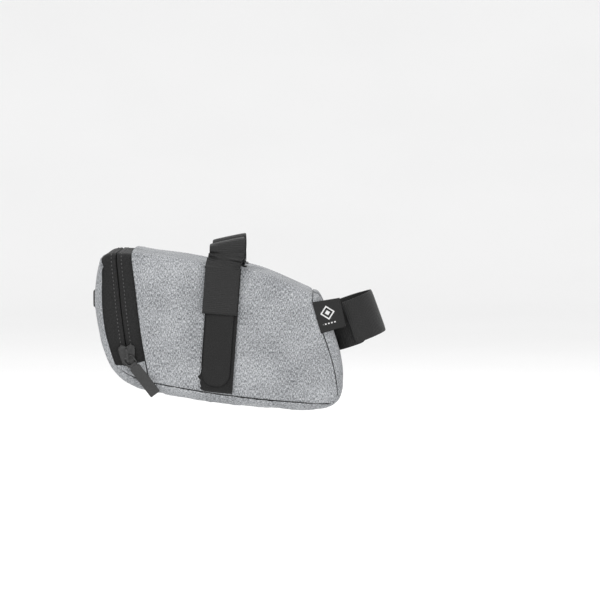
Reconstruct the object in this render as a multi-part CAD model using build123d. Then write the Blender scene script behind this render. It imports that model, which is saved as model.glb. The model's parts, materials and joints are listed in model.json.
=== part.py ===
"""Saddle bag: a padded fabric wedge that hangs under a bicycle saddle.

Frame: +X is the riding direction, +Y the rider's left, +Z up, in millimetres.
The origin is midway between the two loops that hang on the saddle rails.
Every layer of the bag is the difference of two nested bag shapes, so the fabric,
the foam and the lining follow each other at a constant depth below the outside.
"""

from build123d import *
import os
from math import atan2, cos, degrees, radians, sin

# ---- bag shape: side outline (X, Z), clockwise from the top rear corner, and its roundings
OUTLINE = [
    (-68.6, -1.2), (-22.0, -5.0), (18.0, -11.8), (52.3, -26.5),
    (63.4, -66.0), (63.9, -88.4), (26.0, -88.6), (-52.5, -75.2), (-65.0, -60.5), (-71.5, -31.0),
]
OUTLINE_R = [8.0, 120.0, 60.0, 8.0, 60.0, 9.0, 120.0, 24.0, 24.0, 60.0]
REAR_X, REAR_HALF = -72.0, 30.0
FRONT_X, FRONT_HALF = 64.0, 23.0
EDGE_R = 5.6            # rounding between a side and the top, bottom, front or rear
SEAM_INSET = 6.2        # front and bottom seam, in from the outline
SLOPE = (REAR_HALF - FRONT_HALF) / (FRONT_X - REAR_X)
LEAN = degrees(atan2(REAR_HALF - FRONT_HALF, FRONT_X - REAR_X))

# ---- depths below the outer face
FABRIC = (0.0, 0.8)
FOAM = (0.85, 3.0)
LINING = (3.05, 3.45)
TAPE = (0.1, 0.7)
COIL = (0.75, 2.4)

# ---- side lines (X, Z): rear edge of the main panel, zip centre, front edge of the rear cover
PANEL_EDGE = [(-52.6, 12.0), (-50.8, -8.0), (-49.1, -22.0), (-47.4, -37.0), (-46.2, -46.5),
              (-43.9, -60.5), (-41.4, -73.0), (-40.0, -100.0)]
SPLIT = [(-61.2, 10.0), (-53.8, -57.0), (-49.6, -75.0), (-46.6, -100.0)]
COVER_EDGE = [(-65.0, 12.0), (-67.2, -7.0), (-67.3, -27.0), (-65.8, -43.0), (-62.6, -55.0),
              (-59.8, -64.0), (-55.5, -75.0), (-52.5, -100.0)]
TAPE_END = [(-58.6, -64.0), (-43.8, -61.5)]
SPLIT_GAP = 0.6         # each side of the zip centre

# ---- saddle rails and the two straps on them
RAIL_Y = 22.0
RAIL_R = 3.6
RAIL_TILT = 12.0
RAIL_STRAP_W = 19.0
RAIL_STRAP_MID = 0.5
WEB = 1.3
CREASE_Z = -9.0
PEEL_TOP_X, PEEL_FOOT_X = -1.6, -6.4
PEEL_TOP_Z, PEEL_FOOT_Z = -9.4, -74.6
WEB_END_Z = -37.0
HOOK_W, HOOK_TOP_Z = 16.0, -31.0
LOOP_TAPE_W = 20.0
LOOP_TAPE_T = 0.9
ANCHOR_T = 1.0
HOOK_N = (1.15, 1.95)
PEEL_N = (1.95, 1.95 + WEB)
CREASE_GAP = 1.5
LEG_N = 0.7

# ---- seatpost and its strap
POST_POINT = (67.9, 0.0, -39.8)
POST_TILT = 20.0
POST_R = 13.7
POST_WEB = 1.2
POST_GROOVE_R = 15.0
POST_HINGE_DEG = 8.0

# ---- slider and pull, measured from the slider's centre on the right side, N being outward
SLIDER_X, SLIDER_Z = -53.8, -57.0
SLIDER_TILT = degrees(atan2(7.4, 67.0))
SLIDER_TOP_N = (0.25, 1.5)
SLIDER_BASE_N = (-3.5, -2.75)
BRIDGE_W = 1.2
PULL_PIVOT = -1.6
PULL_ANGLE = 37.0
PULL_N = 2.6
WIRE_R = 0.4
RING_W, RING_L = 6.0, 5.0
EYE_R, EYE_HOLE_R, EYE_W = 0.9, 0.5, 3.9
TAB_W, TAB_L, TAB_T = 6.0, 18.9, 1.2


def flat(points, radii=None):
    """A face in the XY plane from an outline, sharp or rounded at each corner."""
    if radii is None:
        return make_face(Polyline(*points, close=True))
    return make_face(FilletPolyline(*points, radius=radii, close=True))


def prism(face, low=-60.0, high=60.0):
    """A face drawn with X and Z, carried across the bag between two values of Y."""
    return Pos(0, high, 0) * extrude(Plane.XZ * face, high - low)


def half_width(x):
    return REAR_HALF - SLOPE * (x - REAR_X)


def wedge(inset):
    """The tapering width, as a plan outline carried up, moved in from each side by an inset."""
    shift = inset / cos(radians(LEAN))
    rear, front = half_width(-120.0) - shift, half_width(120.0) - shift
    plan = flat([(-120, -rear), (120, -front), (120, front), (-120, rear)])
    return Pos(0, 0, -130) * extrude(plan, 180)


def post_plane():
    """Seatpost frame: local Z up the post, local X forward, local Y to the left."""
    tilt = radians(POST_TILT)
    return Plane(origin=POST_POINT, x_dir=(cos(tilt), 0, sin(tilt)), z_dir=(-sin(tilt), 0, cos(tilt)))


BODIES = {}


def bag(inset):
    """The whole bag's outer shape, moved inwards by an inset or outwards by a negative one."""
    if inset in BODIES:
        return BODIES[inset]
    face = flat(OUTLINE, OUTLINE_R)
    if inset:
        face = offset(face, amount=-inset)
    block = prism(face) & wedge(inset)
    sides = [f for f in block.faces() if abs(f.normal_at().Y) > 0.95]
    edges = [e for f in sides for e in f.edges()]
    block = fillet(edges, EDGE_R - inset)
    groove = post_plane() * Cylinder(POST_GROOVE_R + inset, 160)
    BODIES[inset] = block - groove
    return BODIES[inset]


def layer(depths):
    """The shell between two depths below the outer face."""
    return bag(depths[0]) - bag(depths[1])


def shifted(line, dx):
    return [(x + dx, z) for x, z in line]


def ahead_of(line, dx=0.0):
    """Everything forward of a side line."""
    return prism(flat(shifted(line, dx) + [(120, -100), (120, line[0][1])]))


def behind(line, dx=0.0):
    return prism(flat(shifted(line, dx) + [(-120, -100), (-120, line[0][1])]))


def half(side):
    """The rider's right or left half of space."""
    low, high = (-60, 0) if side == "right" else (0, 60)
    return prism(Rectangle(400, 400), low, high)


def below_tape_end(lift=0.0):
    (xa, za), (xb, zb) = TAPE_END
    slope = (zb - za) / (xb - xa)
    rear, front = za + slope * (-90 - xa) + lift, zb + slope * (-30 - xb) + lift
    return prism(flat([(-90, rear), (-30, front), (-30, -110), (-90, -110)]))


def above_seam():
    return flat([(-90, 30), (-90, -40), (44, -40), (47.2, -28.5), (47.2, 30)])


def seam_inside():
    """Where the main panel reaches: all above the front and bottom seam."""
    inner = offset(flat(OUTLINE, OUTLINE_R), amount=-SEAM_INSET)
    return prism(inner) + prism(above_seam())


def body_layers():
    """Main wrap panel, bottom and front gusset, and the foam and lining behind each."""
    panel_zone = seam_inside()
    ahead = ahead_of(PANEL_EDGE)
    padded = ahead_of(PANEL_EDGE, 1.0)
    fabric = layer(FABRIC) & ahead_of(SPLIT, SPLIT_GAP)
    foam = layer(FOAM) & padded
    lining = layer(LINING) & padded
    tabs = ((fabric - ahead) & panel_zone) & below_tape_end()
    parts = {
        "main_panel": fabric & ahead & panel_zone,
        "gusset_panel": fabric - panel_zone,
        "main_foam": foam & panel_zone,
        "gusset_foam": foam - panel_zone,
        "main_lining": lining & panel_zone,
        "gusset_lining": lining - panel_zone,
    }
    for side in ("right", "left"):
        parts[f"zip_end_tab_{side}"] = tabs & half(side)
        parts[f"seam_binding_{side}"] = seam_binding(side)
    return parts


def seam_binding(side):
    """The bound seam allowance that stands into the bag along the front and bottom seam."""
    depth, thick, width = LINING[1] + 0.05, 1.2, 6.0
    whole = flat(OUTLINE, OUTLINE_R)
    band = offset(whole, amount=-4.6) - offset(whole, amount=-4.6 - thick)
    strip = prism(band) & (wedge(depth) - wedge(depth + width)) & bag(depth)
    return (strip & half(side) & ahead_of(PANEL_EDGE, 1.0)) - prism(above_seam())


def cover_layers():
    """Rear cover panel with its foam and lining."""
    edge = behind(COVER_EDGE)
    fabric = layer(FABRIC) & behind(SPLIT, -SPLIT_GAP)
    return {
        "rear_cover_panel": (fabric & edge) + ((fabric & below_tape_end()) - edge),
        "rear_cover_foam": layer(FOAM) & behind(COVER_EDGE, 1.5),
        "rear_cover_lining": layer(LINING) & behind(COVER_EDGE, 2.5),
    }


def zip_layers():
    """Woven tapes and coils of the zip: one half on the bag, the other on the cover."""
    tape, coil = layer(TAPE), layer(COIL)
    near, far, stop = SPLIT_GAP + 0.1, 2.0, 1.6
    low = below_tape_end()
    low_coil = below_tape_end(stop)
    body_coil = (coil & ahead_of(SPLIT, near)) - ahead_of(SPLIT, far)
    cover_coil = (coil & behind(SPLIT, -near)) - behind(SPLIT, -far)
    return {
        "zip_tape_body": (tape & ahead_of(SPLIT, SPLIT_GAP)) - ahead_of(PANEL_EDGE) - low,
        "zip_tape_cover": (tape & behind(SPLIT, -SPLIT_GAP)) - behind(COVER_EDGE) - low,
        "zip_coil_body": body_coil - low_coil,
        "zip_coil_cover": cover_coil - low_coil,
        "zip_stops": (body_coil & low_coil) - low,
    }


def side_plane(x=0.0, z=0.0):
    """Frame on the right side face: local X forward along it, local Y up, local Z outward."""
    lean = radians(LEAN)
    return Plane(origin=(x, -half_width(x), z), x_dir=(cos(lean), sin(lean), 0),
                 z_dir=(sin(lean), -cos(lean), 0))


def on_side(face, low, high):
    """A flat face laid on the right side, between two heights above it."""
    return side_plane() * (Pos(0, 0, low) * extrude(face, high - low))


def strap_outline(width, top_z, foot_z):
    """A strap outline on the side, leaning rearwards as it goes down."""
    rate = (PEEL_FOOT_X - PEEL_TOP_X) / (PEEL_FOOT_Z - PEEL_TOP_Z)
    top = PEEL_TOP_X + rate * (top_z - PEEL_TOP_Z)
    foot = PEEL_TOP_X + rate * (foot_z - PEEL_TOP_Z)
    side = width / 2
    return [(top - side, top_z), (top + side, top_z), (foot + side, foot_z), (foot - side, foot_z)]


def rail_plane():
    """Section across the right rail: local X outboard, local Y down, local Z along the rail."""
    tilt = radians(RAIL_TILT)
    return Plane(origin=(0, -RAIL_Y, 0), x_dir=(0, -1, 0), z_dir=(cos(tilt), 0, sin(tilt)))


def rail_strap():
    """Webbing sewn to the top of the bag, round the rail and down to the top edge."""
    r_in, r_out = RAIL_R, RAIL_R + WEB
    peel_x = LEG_N + half_width(0) - RAIL_Y
    ring = (Circle(r_out) - Circle(r_in)) & Pos(0, -10) * Rectangle(20, 20)
    inboard = flat([(-r_out, 0), (-r_in, 0), (-r_in, 14), (-r_out, 14)])
    outboard = flat([(r_in, 0), (r_out, 0), (r_out, 3.0), (peel_x + WEB, 7.2),
                     (peel_x + WEB, 14), (peel_x, 14), (peel_x, 7.4), (r_in, 3.2)])
    start = RAIL_STRAP_MID - RAIL_STRAP_W / 2
    loop = rail_plane() * (Pos(0, 0, start) * extrude(ring + inboard + outboard, RAIL_STRAP_W))
    foot = (bag(-ANCHOR_T - WEB) - bag(-ANCHOR_T)) & half("right")
    foot = foot & Pos(RAIL_STRAP_MID, -RAIL_Y + r_in + 4.5, -5) * Box(RAIL_STRAP_W - 1, 9, 20)
    low_leg = Pos(0, -RAIL_Y - 20, CREASE_Z + CREASE_GAP - 50) * Box(100, 40, 100)
    return (loop - bag(-ANCHOR_T) - low_leg) + foot


def rail_strap_parts():
    """Everything of the right rail strap, node by node."""
    anchor = (bag(-ANCHOR_T) - bag(0.0)) & half("right")
    loop_tape = ((bag(-LOOP_TAPE_T) - bag(0.0)) & half("right")) - wedge(4.5)
    foot_z = -79.0
    hook = flat(strap_outline(HOOK_W, HOOK_TOP_Z, PEEL_FOOT_Z), [1.0, 1.0, 7.0, 7.0])
    end = flat(strap_outline(RAIL_STRAP_W, PEEL_TOP_Z, WEB_END_Z), [0.3] * 4)
    return {
        "strap_anchor_patch": anchor & Pos(RAIL_STRAP_MID, -13.5, -5) * Box(22, 13, 20),
        "loop_tape": loop_tape & prism(flat(strap_outline(LOOP_TAPE_W, -9.8, foot_z))),
        "rail_strap": rail_strap(),
        "rail_strap_end": on_side(end, *PEEL_N),
        "rail_strap_hook": on_side(hook, *HOOK_N),
    }


def sector(r_in, r_out, start, end, low, high):
    """Part of a ring round the seatpost, between two angles from straight ahead."""
    a, b = radians(start), radians(end)
    edges = [
        CenterArc((0, 0), r_in, start, end - start),
        Line((r_in * cos(b), r_in * sin(b)), (r_out * cos(b), r_out * sin(b))),
        CenterArc((0, 0), r_out, start, end - start),
        Line((r_in * cos(a), r_in * sin(a)), (r_out * cos(a), r_out * sin(a))),
    ]
    return post_plane() * (Pos(0, 0, low) * extrude(make_face(edges), high - low))


def post_strap_parts():
    """Seatpost strap: both arms, and the end that laps over the right arm with its hook patch."""
    outer = POST_R + POST_WEB
    lap = outer + 0.25
    left_arm = sector(POST_R, outer, POST_HINGE_DEG + 4, 190, -12.0, 11.0)
    right_arm = sector(POST_R, outer, 185, 298, -14.0, 9.0)
    return {
        "seatpost_strap": left_arm + right_arm,
        "seatpost_strap_end": sector(lap + 0.6, lap + 1.8, -95, POST_HINGE_DEG - 1, -12.0, 11.0),
        "seatpost_strap_hook": sector(lap, lap + 0.6, -94, -30, -11.0, 10.0),
    }


def light_loop():
    """A webbing loop across the rear cover, sewn at both ends and standing off in the middle."""
    rear, thick, rise, tall, mid_z = -70.4, 1.2, 1.5, 9.0, -28.0
    face = flat([
        (rear + 1, 20), (rear - thick, 20), (rear - thick, 15), (rear - thick - rise, 11),
        (rear - thick - rise, -11), (rear - thick, -15), (rear - thick, -20), (rear + 1, -20),
        (rear + 1, -15.8), (rear - rise, -10.5), (rear - rise, 10.5), (rear + 1, 15.8),
    ])
    return Pos(0, 0, mid_z - tall / 2) * extrude(face, tall) - bag(0.0)


def label_tag():
    """A folded woven tag caught in the front seam on the right side."""
    face = flat([(47.0, -29.0), (61.9, -26.6), (65.4, -42.2), (51.8, -46.2)], [0.3] * 4)
    return on_side(face, 0.05, 0.85)


def slider_frame():
    return side_plane(SLIDER_X, SLIDER_Z) * Rot(0, 0, SLIDER_TILT)


def slider_parts():
    """Slider: top plate with two lobes, neck and base plate in one, and the bridge over it."""
    outline = flat(
        [(-3.0, -5.35), (3.0, -5.35), (4.4, 1.2), (4.4, 4.0), (2.4, 5.35), (0.0, 4.1),
         (-2.4, 5.35), (-4.4, 4.0), (-4.4, 1.2)],
        [1.2, 1.2, 1.5, 1.0, 1.0, 0.4, 1.0, 1.0, 1.5],
    )
    top = Pos(0, 0, SLIDER_TOP_N[0]) * extrude(outline, SLIDER_TOP_N[1] - SLIDER_TOP_N[0])
    base = Pos(0.4, 0, (SLIDER_BASE_N[0] + SLIDER_BASE_N[1]) / 2)
    base = base * Box(5.8, 9.4, SLIDER_BASE_N[1] - SLIDER_BASE_N[0])
    neck_n = SLIDER_TOP_N[0] - SLIDER_BASE_N[0]
    neck = Pos(0, 3.2, SLIDER_BASE_N[0] + neck_n / 2) * Box(0.6, 1.5, neck_n)
    deck, roof = SLIDER_TOP_N[1], PULL_N + WIRE_R + 0.25
    arch = flat([(-4.2, deck), (-4.2, roof + 0.8), (3.4, roof + 0.8), (3.4, deck),
                 (2.5, deck), (2.5, roof), (-3.4, roof), (-3.4, deck)],
                [0.0, 1.0, 1.2, 0.0, 0.0, 0.5, 0.3, 0.0])
    bridge = Plane((-BRIDGE_W / 2, 0, 0), x_dir=(0, 1, 0), z_dir=(1, 0, 0)) * extrude(arch, BRIDGE_W)
    frame = slider_frame()
    return {"slider_body": frame * (top + base + neck), "slider_bridge": frame * bridge}


def pull_frame():
    """Frame at the pull's pivot: local Y points back along the pull towards the slider."""
    return slider_frame() * Pos(0, PULL_PIVOT, PULL_N) * Rot(0, 0, PULL_ANGLE - SLIDER_TILT)


def pull_parts():
    """Wire ring on the bridge, and the flat tab that turns on the ring's lower bar."""
    bar = RING_W / 2 - WIRE_R
    path = FilletPolyline((-bar, 0), (bar, 0), (bar, -RING_L), (-bar, -RING_L), radius=0.9, close=True)
    start = Plane(path @ 0, z_dir=path % 0)
    ring = sweep(start * Circle(WIRE_R), path)
    eye = Pos(0, -RING_L, 0) * Rot(0, 90, 0) * (Cylinder(EYE_R, EYE_W) - Cylinder(EYE_HOLE_R, 9))
    top = -RING_L - 1.3
    plate = Pos(0, top - TAB_L / 2) * RectangleRounded(TAB_W, TAB_L, 0.5)
    neck = Pos(0, (top - RING_L - EYE_R + 0.2) / 2) * Rectangle(EYE_W, -(top - 0.4) - RING_L - EYE_R + 0.6)
    tab = Pos(0, 0, -TAB_T / 2) * extrude(plate + neck, TAB_T)
    hole = Pos(0, -RING_L, 0) * Rot(0, 90, 0) * Cylinder(EYE_HOLE_R, 9)
    return {"pull_ring": pull_frame() * ring, "pull_tab": pull_frame() * ((tab + eye) - hole)}


def all_parts():
    parts = {}
    parts.update(body_layers())
    parts.update(cover_layers())
    parts.update(zip_layers())
    parts["light_loop"] = light_loop()
    parts["label_tag"] = label_tag()
    for name, solid in rail_strap_parts().items():
        parts[f"{name}_right"] = solid
        parts[f"{name}_left"] = mirror(solid, about=Plane.XZ)
    parts.update(post_strap_parts())
    parts.update(slider_parts())
    parts.update(pull_parts())
    return parts


def main():
    os.makedirs("parts", exist_ok=True)
    for name, solid in all_parts().items():
        export_step(Compound(children=solid.solids()), f"parts/{name}.step")
        print(f"{name}: {len(solid.solids())} solid(s), {solid.volume:.1f} mm3")


main()
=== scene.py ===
# %% [markdown]
# A saddle bag, rebuilt as the pieces that are cut, sewn and fastened to make it.
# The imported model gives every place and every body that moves. This script dresses
# it: fabric panels, zip, straps, tag and thread, each as its own surface.

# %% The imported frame
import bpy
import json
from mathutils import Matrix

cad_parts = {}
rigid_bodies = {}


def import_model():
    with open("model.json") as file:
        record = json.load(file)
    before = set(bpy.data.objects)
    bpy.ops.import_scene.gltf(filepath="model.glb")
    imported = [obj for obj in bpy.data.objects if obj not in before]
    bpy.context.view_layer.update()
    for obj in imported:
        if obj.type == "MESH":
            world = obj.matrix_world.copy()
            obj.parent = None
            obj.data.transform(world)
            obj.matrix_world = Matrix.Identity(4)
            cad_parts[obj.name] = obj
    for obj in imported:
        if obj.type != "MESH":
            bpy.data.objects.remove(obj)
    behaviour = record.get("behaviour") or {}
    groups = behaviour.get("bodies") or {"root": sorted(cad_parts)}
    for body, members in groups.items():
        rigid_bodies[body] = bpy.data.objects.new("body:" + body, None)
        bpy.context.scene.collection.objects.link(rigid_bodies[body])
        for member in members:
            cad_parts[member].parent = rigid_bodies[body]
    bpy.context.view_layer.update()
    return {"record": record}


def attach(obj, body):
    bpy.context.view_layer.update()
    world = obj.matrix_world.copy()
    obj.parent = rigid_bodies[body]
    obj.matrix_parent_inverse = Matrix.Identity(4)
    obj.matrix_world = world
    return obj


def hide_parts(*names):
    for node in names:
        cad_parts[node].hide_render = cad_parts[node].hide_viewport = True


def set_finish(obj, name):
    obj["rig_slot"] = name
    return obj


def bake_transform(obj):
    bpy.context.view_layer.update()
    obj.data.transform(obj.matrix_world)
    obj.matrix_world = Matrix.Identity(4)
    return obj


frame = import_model()

import json
import bmesh
import bpy
import numpy as np
from mathutils import Vector

# %% [markdown]
# Lengths are written in millimetres, as a pattern cutter would, and turned into
# metres once, where a mesh is made. A line of a pattern piece is a few points with
# a smooth curve through them. That is shorter than a modelled outline, and the same
# line can then serve the panel, its lining and its thread.

# %% Curves
MM = 0.001


def smooth(t):
    """Goes from 0 to 1 with flat ends: three t squared less two t cubed."""
    t = np.clip(t, 0, 1)
    return t * t * (3 - 2 * t)


def run(line):
    """Length along a line of points, counted from its first."""
    return np.r_[0, np.cumsum(np.linalg.norm(np.diff(line, axis=0), axis=1))]


def cubic(knots, values, at):
    """Smooth curve through values at knots. Between two of them it is the cubic that leaves each
    one along the slope between that value's two neighbours."""
    slope = np.gradient(values, knots, axis=0)
    i = np.clip(np.searchsorted(knots, at, side="right") - 1, 0, len(knots) - 2)
    h = (knots[i + 1] - knots[i])[..., None]
    t = (at - knots[i])[..., None] / h
    return ((2 * t**3 - 3 * t**2 + 1) * values[i] + (t**3 - 2 * t**2 + t) * h * slope[i]
            + (3 * t**2 - 2 * t**3) * values[i + 1] + (t**3 - t**2) * h * slope[i + 1])


def through(points, at):
    """Smooth line through points, read at shares of its length."""
    p = np.asarray(points, float)
    s = run(p)
    assert (np.diff(s) > 1e-9).all(), "two neighbouring points are the same"
    return cubic(s, p, np.asarray(at, float) * s[-1])


def crowded(n, share=0.5):
    """Numbers from 0 to 1 that crowd towards both ends: part even steps, part half of one less
    the cosine."""
    t = np.linspace(0, 1, n)
    return (1 - share) * t + share * (1 - np.cos(np.pi * t)) / 2


def unit(v):
    """Each vector divided by its own length."""
    return v / np.maximum(np.linalg.norm(v, axis=-1, keepdims=True), 1e-9)


# %% [markdown]
# Every cloth piece here is a grid of points: rows one way, columns the other. A
# piece of cloth has a thickness, so its mesh is two grids, face and back, joined
# all round by their rims. Solidify could do that too, but two grids let the hems
# thin out and round over, and they always close.

# %% From grids to meshes
def mesh_of(name, points, faces, scale=MM):
    """A mesh from points, in mm unless another scale is given, and faces."""
    mesh = bpy.data.meshes.new(name)
    mesh.from_pydata((points.reshape(-1, 3) * scale).tolist(), [], faces.tolist())
    return mesh


def linked(name, mesh):
    """A smooth-shaded object of the mesh, placed in the scene."""
    mesh.polygons.foreach_set("use_smooth", np.ones(len(mesh.polygons), bool))
    obj = bpy.data.objects.new(name, mesh)
    bpy.context.collection.objects.link(obj)
    return obj


def finish_mesh(name, verts, faces, uv):
    """Mesh from points in mm, quads and one uv per point. Its volume, summed over its
    triangles from the middle, tells whether the faces point out; if not, they turn round."""
    assert np.isfinite(verts).all(), name + " has a point that is not a number"
    mid = verts.mean(0)
    a, b, c, d = (verts[faces[:, k]] - mid for k in range(4))
    volume = (a * np.cross(b, c)).sum() + (a * np.cross(c, d)).sum()
    if volume < 0:
        faces = faces[:, ::-1]
    mesh = mesh_of(name, verts, faces)
    layer = mesh.uv_layers.new(name="cloth")
    layer.data.foreach_set("uv", (uv[faces.ravel()] * MM).ravel())
    mesh.validate()
    return linked(name, mesh)


def quads(index):
    """Quads between neighbouring rows and columns of a grid of point numbers."""
    corners = [index[:-1, :-1], index[1:, :-1], index[1:, 1:], index[:-1, 1:]]
    return np.stack(corners, -1).reshape(-1, 4)


def rim(a, b):
    """Quads between two rows of point numbers."""
    return np.stack([a[:-1], a[1:], b[1:], b[:-1]], -1)


def shell(name, face, back, uv):
    """Closed sheet: the face grid, the back grid turned over, and quads round the four rims."""
    n = face.shape[0] * face.shape[1]
    i = np.arange(n).reshape(face.shape[:2])
    j = i + n
    faces = np.concatenate([quads(i), quads(j)[:, ::-1], rim(j[0], i[0])[:, ::-1], rim(j[-1], i[-1]),
                            rim(j[:, 0], i[:, 0]), rim(j[:, -1], i[:, -1])[:, ::-1]])
    verts = np.concatenate([face.reshape(-1, 3), back.reshape(-1, 3)])
    return finish_mesh(name, verts, faces, np.concatenate([uv.reshape(-1, 2)] * 2))


def facing(grid):
    """Unit normal at each point: the cross product of the steps along rows and columns."""
    return unit(np.cross(np.gradient(grid, axis=0), np.gradient(grid, axis=1)))

# %% [markdown]
# The bag is a padded wedge. Seen from the side it has four edges: the hem beside
# the zip, the bottom seam, the front seam and the top. The main panel is one piece
# that runs from the bottom seam up the side, over the top and down the other side,
# so it is worked out as one grid that wraps round, and never as five plates.

# %% Lines of the bag, as X and Z
REAR_HALF, SLOPE = 30.0, 7 / 136        # half the width at the rear, and how fast it narrows
FOLD, SEAM_R = 4.6, 1.25                # rounding over the top edges, and into a sewn seam
SIDE_TALL, PANEL_LONG = 68.0, 104.0     # the main panel's size, for distances from its edges
TOP = [(-68.6, -5.4), (-67.2, -3.4), (-64.8, -1.8), (-61.5, -1.2), (-57.0, -1.1), (-52.6, -1.3), (-38, -3.1),
       (-22, -5.2), (-10.8, -7.2), (7.8, -9.6), (18, -12.2), (35, -19.0), (49.0, -25.4)]
HEM = [(-52.0, 3.0), (-50.8, -8.0), (-49.1, -22.0), (-47.4, -37.0), (-46.2, -46.5), (-43.9, -60.5),
       (-41.5, -72.7)]
BOTTOM = [(-41.5, -72.7), (-14.7, -77.6), (6.9, -80.8), (38.6, -84.0), (54.0, -84.9), (58.6, -84.2),
          (60.5, -82.0)]
FRONT = [(60.5, -82.0), (60.9, -78.5), (60.3, -73.6), (58.1, -62.2), (54.0, -49.8), (51.6, -43.5),
         (47.3, -29.2)]
ZIP_LINE = [(-60.5, 6.0), (-59.6, -5.0), (-58.0, -22.0), (-56.9, -34.0), (-55.7, -44.0), (-53.8, -57.0),
            (-52.0, -66.0)]
COVER_LINE = [(-67.0, 6.0), (-67.2, -4.0), (-67.1, -15.0), (-67.2, -27.0), (-66.5, -35.5), (-65.6, -43.5),
              (-64.2, -49.5), (-62.5, -55.5), (-60.5, -62.5), (-59.2, -66.0)]


def half_width(x):
    """Half the bag's width: 30 mm at the rear, narrowing evenly to 23 mm at the front."""
    return REAR_HALF - SLOPE * (x + 72.0)


def top_z(x):
    """Height of the top at x, read off the top line."""
    line = through(TOP, np.linspace(0, 1, 300))
    return np.interp(x, line[:, 0], line[:, 1])


def line_x(points, z):
    """Where a line that runs up and down crosses the height z."""
    line = through(points, np.linspace(0, 1, 300))
    order = np.argsort(line[:, 1])
    return np.interp(z, line[order, 1], line[order, 0])


def wrap_columns(side, arc, top):
    """Columns from the right bottom edge to the left one: v climbs the side, turn goes from 0
    through a half turn over both folds, and k goes from -1 to 1 across the top."""
    quarter = np.linspace(0, np.pi / 2, arc + 2)[1:-1]
    climb = crowded(side, 0.75)
    v = np.r_[climb, np.ones(2 * arc + top), climb[::-1]]
    flat = np.full(top, np.pi / 2)
    turn = np.r_[np.zeros(side), quarter, flat, np.pi / 2 + quarter, np.full(side, np.pi)]
    k = np.r_[-np.ones(side + arc), np.linspace(-1, 1, top), np.ones(arc + side)]
    return v, turn, k


def wrapped(x, z, columns, depth):
    """Points of a cloth that wraps over the top. On a side it is at (x, z). Round a fold it is a
    circle of radius FOLD, and over the top a straight line. Depth moves it along the outside normal."""
    _, turn, k = columns
    w = half_width(x)
    y = k * (w - FOLD) - (FOLD + depth) * np.cos(turn)
    up = (FOLD + depth) * np.sin(turn)
    return np.stack([x, y, z + up], -1)


def wrapped_uv(x, z, columns):
    """Cloth coordinates: x along the bag, and the length climbed, turned and crossed the other way."""
    v, turn, k = columns
    w = half_width(x)
    far_side = np.where(k > 0.999, 2 * (z[:, len(v) // 2][:, None] - z), 0)
    return np.stack([x, z + FOLD * turn + (k + 1) * (w - FOLD) + far_side], -1)


print(f"half width: {half_width(-72.0):.1f} mm at the rear, {half_width(64.0):.1f} mm at the front")

# %% [markdown]
# Between its four edges a side is a Coons patch: blend the two lines across, blend
# the two lines up, add them, and take away the blend of the corners. It keeps all
# four seams exactly, which a projected plane would not.

# %% The main panel's grid
def main_grid(rows, columns):
    """X and Z of the main panel. Coons patch on the side; above it, x stays at the top edge's."""
    v, turn, k = columns
    u = crowded(rows, 0.7)[:, None]
    v = v[None, :]
    low = through(BOTTOM, u[:, 0])[:, None, :]
    top_x = -51.1 + (47.3 + 51.1) * u[:, 0]
    high = np.stack([top_x, top_z(top_x) - FOLD], -1)[:, None, :]
    rear_z = np.linspace(-72.7, high[0, 0, 1], 11)
    rear = np.stack([line_x(HEM, rear_z), rear_z], -1)
    rear[-1] = high[0, 0]
    left = through(rear, v[0])[None]
    right = through(FRONT[:-1] + [tuple(high[-1, 0])], v[0])[None]
    u, v = u[..., None], v[..., None]
    corners = ((1 - u) * (1 - v) * low[0, 0] + u * (1 - v) * low[-1, 0]
               + (1 - u) * v * high[0, 0] + u * v * high[-1, 0])
    patch = (1 - v) * low + v * high + (1 - u) * left + u * right - corners
    return patch[..., 0], patch[..., 1]


def hem_drop(d, radius):
    """How far a rounded edge falls at distance d from it: a quarter circle of that radius."""
    t = np.clip(radius - d, 0, radius)
    return radius - np.sqrt(radius**2 - t**2)


def main_depth(x, z, columns):
    """Padding and edges of the main panel. It crowns fore and aft of the straps, lies flat under
    them, dips into the front and bottom seams, gathers a little along them, and rounds over at the hem."""
    v, turn, k = columns
    strap = 1 - smooth((np.abs(x + 3.0) - 11.0) / 9.0)
    side = np.sin(np.pi * np.clip(v, 0, 1)) ** 0.8 * np.abs(np.cos(turn))
    fore = np.sin(np.pi * np.clip((x - 6) / 52, 0, 1)) * 1.8
    aft = np.sin(np.pi * np.clip((x + 50) / 39, 0, 1)) * 1.3
    depth = side * (fore + aft) * (1 - strap)
    over = np.sin(turn) * (1 - k**2) * 0.8
    depth = depth + over * (1 - strap)
    rows = crowded(x.shape[0], 0.7)[:, None] * np.ones_like(x)
    to_low, to_front, to_hem = v * SIDE_TALL + 0 * x, (1 - rows) * PANEL_LONG, rows * PANEL_LONG
    dip = np.maximum(hem_drop(to_low, SEAM_R), hem_drop(to_front, SEAM_R))
    away = smooth(np.minimum(to_low, to_front) / 2.5)
    gather = 0.22 * np.sin(x / 1.15 + 2 * np.sin(x / 9)) * np.exp(-to_low / 4.5) * (1 - strap)
    pull = 0.2 * np.sin(z / 1.2 + 2 * np.sin(z / 8)) * np.exp(-to_front / 4.5)
    proud = 0.65 * np.exp(-to_hem / 3.0) * smooth((v * SIDE_TALL - 1.0) / 5.0)
    return depth - dip + (gather + pull) * away + proud - hem_drop(to_hem, 0.8)


# %% [markdown]
# The grey strip is the other big piece: it starts at the front of the top, goes
# down the front, along the bottom and up the rear, where it is the cover that the
# zip opens. It is carried along two lines at once, the seam at its edge and the
# outline at its middle, with a quarter turn between them.

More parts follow.
